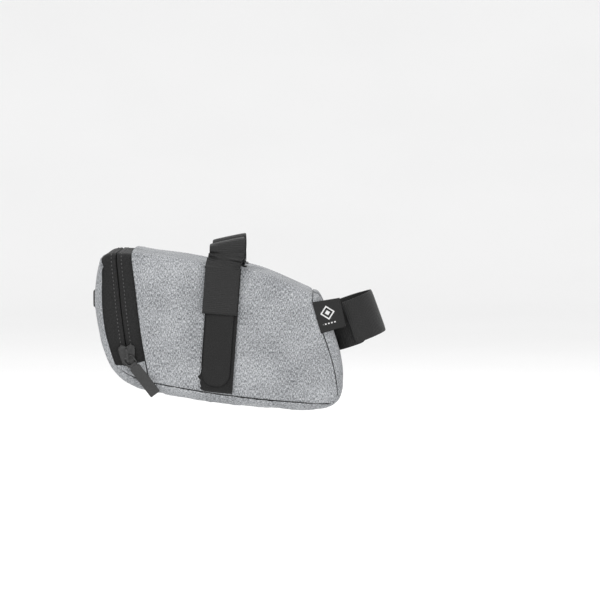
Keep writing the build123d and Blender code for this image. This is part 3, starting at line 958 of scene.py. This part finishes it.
def finish(name, roughness, make, **fixed):
    """A material. make gets the cloth coordinates u and v in millimetres and the object place, and
    returns the varying colour, a bump height in millimetres and the bump's strength. Fixed values
    go on the shader itself."""
    mat = bpy.data.materials.new(name)
    mat.use_nodes = True
    tree = mat.node_tree
    shader = tree.nodes["Principled BSDF"]
    shader.inputs["Roughness"].default_value = roughness
    for key, value in fixed.items():
        shader.inputs[key.replace("_", " ")].default_value = value
    coords = tree.nodes.new("ShaderNodeTexCoord")
    place, cloth = Wave(tree, coords.outputs["Object"]), Wave(tree, coords.outputs["UV"])
    apart = cloth.node("ShaderNodeSeparateXYZ", inputs={"Vector": cloth})
    u, v = apart * 1000.0, Wave(tree, apart.socket.node.outputs[1]) * 1000.0
    colour, height, strength = make(u, v, place)
    tree.links.new(colour.socket, shader.inputs["Base Color"])
    bump = place.node("ShaderNodeBump", inputs={"Strength": strength, "Distance": MM, "Height": height})
    tree.links.new(bump.socket, shader.inputs["Normal"])
    return mat


def at(u, v, w=0.0):
    """A place to read a texture at, from two numbers."""
    return u.node("ShaderNodeCombineXYZ", inputs={"X": u, "Y": v, "Z": w})


def noise(vector, scale=1.0, detail=2.0, rough=0.5):
    """Cloud noise from 0 to 1 at a place."""
    return vector.node("ShaderNodeTexNoise", inputs={
        "Vector": vector, "Scale": scale, "Detail": detail, "Roughness": rough})


def ramp(value, *stops):
    """Colours along a value."""
    return value.node("ShaderNodeValToRGB", {"stops": stops}, {"Fac": value})


def grey(x, cool=0.0):
    """A grey, a little towards blue."""
    return (x * (1 - cool), x, x * (1 + cool * 1.3))


WAVE = 6.2832       # one full turn of a sine, so that a sine of u times WAVE / p repeats every p mm

# %% [markdown]
# The grey cloth is heathered polyester: light and dark fibres are spun into each
# yarn, so short dark slubs run both ways. Noise stretched along each direction
# gives the slubs, and a product of two sine waves gives the plain weave's bumps.

# %% Cloths
def heather(u, v, place):
    """Warp slubs plus weft slubs plus a soft large cloud; weave height is sine of u times sine of v."""
    warp = noise(at(u * 2.7, v * 0.70), 1.0, 3.0, 0.72)
    weft = noise(at(u * 0.80, v * 2.7, 7.0), 1.0, 3.0, 0.72)
    cloud = noise(at(u * 0.05, v * 0.05, 3.0), 1.0, 2.0)
    tone = warp * 0.66 + weft * 0.34 + (cloud - 0.5) * 0.10
    weave = (u * 6.98).math("SINE") * (v * 6.98).math("SINE")
    colour = ramp(tone, (0.37, grey(0.05, 0.04)), (0.45, grey(0.15, 0.04)), (0.52, grey(0.29, 0.03)),
                  (0.60, grey(0.50, 0.02)))
    return colour, weave * 0.06 + warp * 0.16 + weft * 0.16, 0.55


def ribbed(pitch, dark, light, depth):
    """Webbing: ribs across at a pitch, broken by a finer run of yarns along it."""
    def make(u, v, place):
        rib = (v * (WAVE / pitch)).math("SINE")
        yarn = (u * (WAVE / 0.7)).math("SINE")
        fuzz = noise(at(u * 1.4, v * 1.4), 1.0, 3.0)
        tone = (rib * yarn * 0.18 + fuzz).clamp()
        height = rib * depth + yarn * (depth * 0.5) + fuzz * 0.1
        return ramp(tone, (0.25, grey(dark)), (0.8, grey(light))), height, 0.6
    return make


def herringbone(u, v, place):
    """Zip tape: slanting twill lines that change side every 2.4 mm across the tape."""
    slant = (u * (1 / 2.4)).math("PINGPONG", 1.0) * 2.4 + v
    line = (slant * (WAVE / 0.8)).math("SINE")
    fuzz = noise(at(u * 1.2, v * 1.2), 1.0, 3.0)
    colour = ramp((line * 0.22 + fuzz).clamp(), (0.2, grey(0.004)), (0.85, grey(0.024)))
    return colour, line * 0.09 + fuzz * 0.08, 0.6


def pile(u, v, place):
    """Loop pile: clouds of tiny curls, with a brighter fringe where they catch light."""
    curl = noise(at(u * 2.2, v * 2.2), 1.0, 4.0, 0.75)
    return ramp(curl, (0.32, grey(0.003)), (0.7, grey(0.022))), curl * 0.5, 0.8


def hooks(u, v, place):
    """Hook tape's back: a close, flat twill."""
    twill = ((u + v) * (WAVE / 0.9)).math("SINE")
    fuzz = noise(at(u * 1.6, v * 1.6), 1.0, 3.0)
    colour = ramp((fuzz + twill * 0.12).clamp(), (0.2, grey(0.005)), (0.85, grey(0.018)))
    return colour, twill * 0.05 + fuzz * 0.1, 0.5


def plain(dark, light, size, height):
    """Even finish with a fine grain, read from the object's own place so that it needs no uv."""
    def make(u, v, place):
        grain = noise(place, 1000.0 / size, 3.0)
        return ramp(grain, (0.3, dark), (0.7, light)), grain * height, 0.5
    return make


def woven_tag(u, v, place):
    """Tag: dark satin with a generic mark: one diamond inside another, over a row of dashes."""
    thread = (v * (WAVE / 0.45)).math("SINE")
    aside = (u - 6.6).math("ABSOLUTE")
    reach = aside + (v - 7.2).math("ABSOLUTE")
    diamond = ((reach - 3.6).math("ABSOLUTE") < 0.5) + (reach < 1.5)
    dash = ((v - 13.2).math("ABSOLUTE") < 0.35) * ((u * (WAVE / 1.8)).math("SINE") > 0.0) * (aside < 4.0)
    mark = (diamond + dash).clamp()
    ground = noise(at(u * 1.5, v * 4.0), 1.0, 3.0)
    base = ramp(ground, (0.3, grey(0.008)), (0.75, grey(0.022)))
    pale = ramp(ground, (0.3, grey(0.5)), (0.75, grey(0.66)))
    colour = base.node("ShaderNodeMix", {"data_type": "RGBA"}, {0: mark, 6: base, 7: pale}, out=2)
    return colour, thread * 0.04 + mark * 0.06, 0.5


DULL = dict(Specular_IOR_Level=0.2)
FINISHES = {slot: finish(name, roughness, make, **fixed) for slot, name, roughness, make, fixed in (
    ("grey_polyester", "heathered polyester", 0.86, heather,
     dict(Sheen_Weight=0.08, Sheen_Roughness=0.5, **DULL)),
    ("foam", "closed-cell foam", 0.9, plain(grey(0.10), grey(0.16), 1.2, 0.3), DULL),
    ("lining_cloth", "lining taffeta", 0.7, ribbed(0.5, 0.02, 0.05, 0.03), {}),
    ("binding_tape", "black binding and thread", 0.7, plain(grey(0.006), grey(0.02), 0.6, 0.1), DULL),
    ("zip_tape", "herringbone zip tape", 0.78, herringbone, dict(Sheen_Weight=0.05, **DULL)),
    ("zip_thread", "zip sewing thread", 0.6, plain(grey(0.05), grey(0.10), 0.4, 0.05), DULL),
    ("zip_coil", "nylon coil", 0.4, plain(grey(0.006), grey(0.014), 1.0, 0.05), {}),
    ("black_webbing", "black webbing", 0.55, ribbed(1.0, 0.004, 0.015, 0.12),
     dict(Sheen_Weight=0.06, Sheen_Roughness=0.4, Specular_IOR_Level=0.3)),
    ("loop_tape", "loop pile", 0.95, pile, dict(Sheen_Weight=0.12, Sheen_Roughness=0.5, **DULL)),
    ("hook_tape", "hook tab back", 0.7, hooks, dict(Sheen_Weight=0.05, **DULL)),
    ("woven_label", "satin tag", 0.6, woven_tag, DULL),
    ("slider_metal", "black lacquered zinc", 0.38, plain(grey(0.02), grey(0.04), 2.0, 0.05),
     dict(Metallic=0.4, Coat_Weight=0.2)),
    ("pull_wire", "black steel wire", 0.3, plain(grey(0.03), grey(0.07), 1.0, 0.03), dict(Metallic=0.7)),
    ("pull_tab_rubber", "matte dark rubber", 0.62, plain(grey(0.033), grey(0.046), 0.7, 0.12), DULL),
)}
print(len(FINISHES), "finishes")

# %% [markdown]
# Each piece says which finish it wants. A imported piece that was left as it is, such as
# the slider, takes the finish that the part's record names for it.

# %% Dress every piece
slot_of = {p["node"]: p["material_slot"] for p in frame["record"].get("subparts", [])
           if "material_slot" in p}
for obj in bpy.data.objects:
    if obj.type != "MESH":
        continue
    slot = obj.get("finish") or obj.get("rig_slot") or slot_of.get(obj.name)
    if slot in FINISHES:
        obj.data.materials.clear()
        obj.data.materials.append(FINISHES[slot])
    else:
        print("no finish for", obj.name)

# %% [markdown]
# The stage: a pale floor well below, so that the cover has room to swing down. It
# rises far away like a sheet of paper. Soft light comes from a large window to the
# front left, weaker light from the right and the back. The camera stands a little
# above the bag's middle, and its long lens keeps the near side from looking large.

# %% Floor, light and camera
r = np.linspace(0, 5.5, 45)[:, None]
a = np.linspace(0, 2 * np.pi, 97)[None, :]
bowl = np.stack([r * np.cos(a), r * np.sin(a), -0.24 + 1.7 * smooth((r - 2.5) / 3.0) + 0 * a], -1)
floor = linked("floor", mesh_of("floor", bowl, quads(np.arange(bowl.size // 3).reshape(45, 97)), 1.0))
floor.data.materials.append(finish("pale floor", 0.9, lambda u, v, place: (
    ramp(noise(place, 3.0), (0.3, grey(0.93)), (0.7, grey(0.95))), noise(place, 40.0) * 0.2, 0.1)))

world = bpy.data.worlds.new("studio")
bpy.context.scene.world = world
world.use_nodes = True
sky = world.node_tree.nodes["Background"].inputs
sky["Color"].default_value, sky["Strength"].default_value = (1, 1, 1, 1), 0.9
bpy.context.scene.view_settings.view_transform = "Standard"

def softbox(name, place, size, power):
    """A square area light at a place, aimed at the bag."""
    lamp = bpy.data.lights.new(name, "AREA")
    lamp.size, lamp.energy = size, power
    obj = bpy.data.objects.new(name, lamp)
    bpy.context.collection.objects.link(obj)
    obj.location = place
    obj.rotation_euler = (Vector((0, 0, -0.04)) - Vector(place)).to_track_quat("-Z", "Y").to_euler()


softbox("key", (-0.6, -1.0, 1.0), 0.5, 13)
softbox("fill", (1.0, -0.9, 0.2), 0.9, 4)
softbox("back", (0.2, 1.0, 0.9), 0.8, 6)

AIM, AWAY, RISE = Vector((0.0403, 0, -0.0297)), 1.30, np.radians(4.5)
SEEN = 0.3336       # metres across the view at that distance
lens = bpy.data.cameras.new("camera")
lens.lens, lens.sensor_width = 36 * AWAY / SEEN, 36
camera = bpy.data.objects.new("camera", lens)
bpy.context.collection.objects.link(camera)
camera.location = AIM + Vector((0, -AWAY * np.cos(RISE), AWAY * np.sin(RISE)))
camera.rotation_euler = (AIM - camera.location).to_track_quat("-Z", "Y").to_euler()
bpy.context.scene.camera = camera
print(f"camera {AWAY} m away with a {lens.lens:.0f} mm lens")
